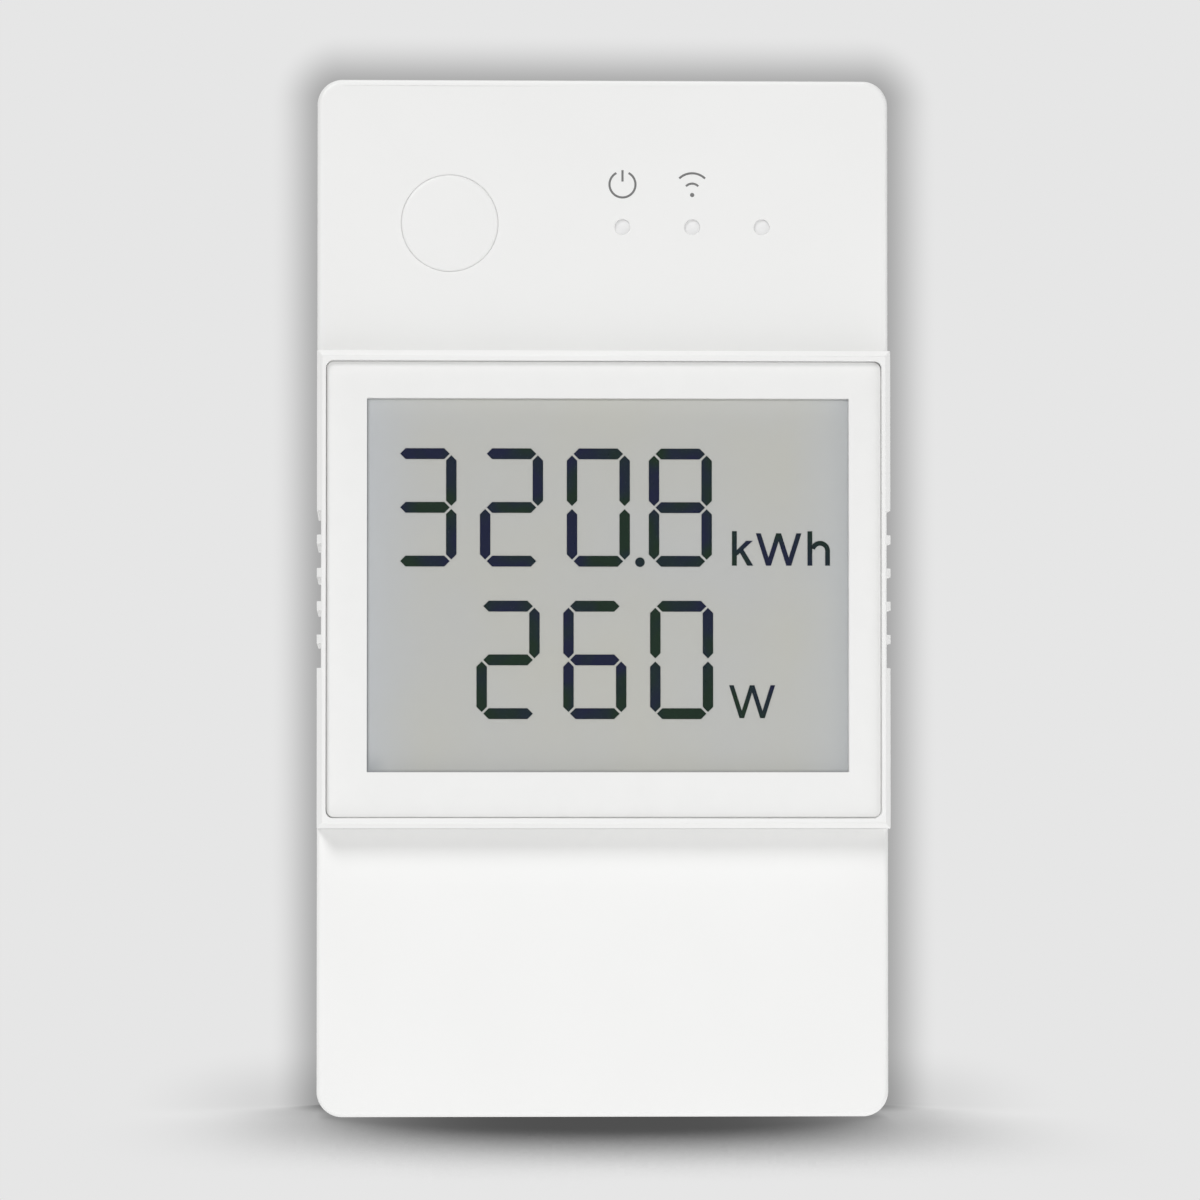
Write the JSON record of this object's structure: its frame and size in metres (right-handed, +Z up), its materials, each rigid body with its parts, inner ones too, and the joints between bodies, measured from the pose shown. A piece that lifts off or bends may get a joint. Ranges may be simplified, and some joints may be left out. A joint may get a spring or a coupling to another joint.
{
  "type": "smart energy monitor",
  "caption": "Rail-mounted energy monitor with a raised display block, push button, status lights, covered clamp terminals and a sprung rail clip.",
  "frame": {"origin": "middle of the bottom end, on the surface it stands on", "axes": "+Z up along the housing, +X to the right seen from the front, +Y from the display to the back"},
  "size_m": [0.054, 0.031, 0.098],
  "materials": {
    "housing": "fine moulded texture, satin",
    "lens": "clear, polished",
    "mask": "printed white",
    "lcd": "grey reflective display",
    "diffuser": "milky",
    "holder": "moulded",
    "elastomer": "layered silicone",
    "board": "solder mask",
    "chip": "moulded epoxy",
    "radio": "solder mask",
    "tin": "tinned",
    "pins": "gold plated",
    "light_guide": "frosted clear",
    "relay": "moulded",
    "ferrite": "sintered",
    "winding": "taped winding",
    "can": "sleeved can",
    "film_capacitor": "moulded",
    "varistor": "epoxy dipped",
    "fuse": "moulded",
    "copper": "stamped",
    "terminal": "moulded",
    "screw": "zinc plated",
    "clamp": "nickel plated",
    "clip": "moulded",
    "spring": "spring wire"
  },
  "bodies": {
    "housing": {"front_cover": "housing", "rear_base": "housing", "display_lens": "lens", "mask_film": "mask", "lcd_glass": "lcd", "lcd_backlight": "diffuser", "lcd_holder": "holder", "contact_strip": "elastomer", "control_board": "board", "display_driver": "chip", "radio_board": "radio", "radio_shield": "tin", "tact_switch": "chip", "status_leds": "diffuser", "light_guide": "light_guide", "header_base": "chip", "header_pins": "pins", "header_socket": "chip", "main_board": "board", "power_relay": "relay", "transformer_core": "ferrite", "transformer_bobbin": "holder", "transformer_coil": "winding", "filter_capacitors": "can", "safety_capacitor": "film_capacitor", "varistor": "varistor", "fuse": "fuse", "current_shunt": "copper", "metering_chip": "chip", "rectifier": "chip", "terminal_block": "terminal", "contact_bars": "copper", "clip_spring": "spring", "housing_screws": "screw", "board_screws": "screw", "control_screws": "screw"},
    "button": {"button_cap": "housing", "switch_plunger": "holder"},
    "cover": {"terminal_cover": "housing"},
    "clip": {"din_clip": "clip"},
    "screw_1": {"terminal_screw_1": "screw"},
    "clamp_1": {"wire_clamp_1": "clamp"},
    "screw_2": {"terminal_screw_2": "screw"},
    "clamp_2": {"wire_clamp_2": "clamp"},
    "screw_3": {"terminal_screw_3": "screw"},
    "clamp_3": {"wire_clamp_3": "clamp"},
    "screw_4": {"terminal_screw_4": "screw"},
    "clamp_4": {"wire_clamp_4": "clamp"}
  },
  "joints": [
    {"name": "button_press", "type": "slide", "parent": "housing", "child": "button", "axis": [0, 1, 0], "range_m": [0, 0.0003], "stiffness_N_per_m": 3000, "springref_m": -0.0002},
    {"name": "terminal_cover_pull", "type": "slide", "parent": "housing", "child": "cover", "axis": [0, -1, 0], "range_m": [0, 0.012]},
    {"name": "clip_slide", "type": "slide", "parent": "housing", "child": "clip", "axis": [0, 0, -1], "range_m": [0, 0.004], "stiffness_N_per_m": 1500, "springref_m": -0.002, "deforming": ["clip_spring"]},
    {"name": "screw_1_turn", "type": "hinge", "parent": "housing", "child": "screw_1", "pos_m": [-0.0165, 0, 0.011], "axis": [0, 1, 0], "range_deg": [0, 1800]},
    {"name": "clamp_1_rise", "type": "slide", "parent": "housing", "child": "clamp_1", "axis": [0, -1, 0], "range_m": [0, 0.003]},
    {"name": "screw_2_turn", "type": "hinge", "parent": "housing", "child": "screw_2", "pos_m": [-0.0055, 0, 0.011], "axis": [0, 1, 0], "range_deg": [0, 1800]},
    {"name": "clamp_2_rise", "type": "slide", "parent": "housing", "child": "clamp_2", "axis": [0, -1, 0], "range_m": [0, 0.003]},
    {"name": "screw_3_turn", "type": "hinge", "parent": "housing", "child": "screw_3", "pos_m": [0.0055, 0, 0.011], "axis": [0, 1, 0], "range_deg": [0, 1800]},
    {"name": "clamp_3_rise", "type": "slide", "parent": "housing", "child": "clamp_3", "axis": [0, -1, 0], "range_m": [0, 0.003]},
    {"name": "screw_4_turn", "type": "hinge", "parent": "housing", "child": "screw_4", "pos_m": [0.0165, 0, 0.011], "axis": [0, 1, 0], "range_deg": [0, 1800]},
    {"name": "clamp_4_rise", "type": "slide", "parent": "housing", "child": "clamp_4", "axis": [0, -1, 0], "range_m": [0, 0.003]}
  ],
  "couplings": [
    {"joint": "screw_1_turn", "follows": "clamp_1_rise", "rad_per_m": 10472},
    {"joint": "screw_2_turn", "follows": "clamp_2_rise", "rad_per_m": 10472},
    {"joint": "screw_3_turn", "follows": "clamp_3_rise", "rad_per_m": 10472},
    {"joint": "screw_4_turn", "follows": "clamp_4_rise", "rad_per_m": 10472}
  ]
}
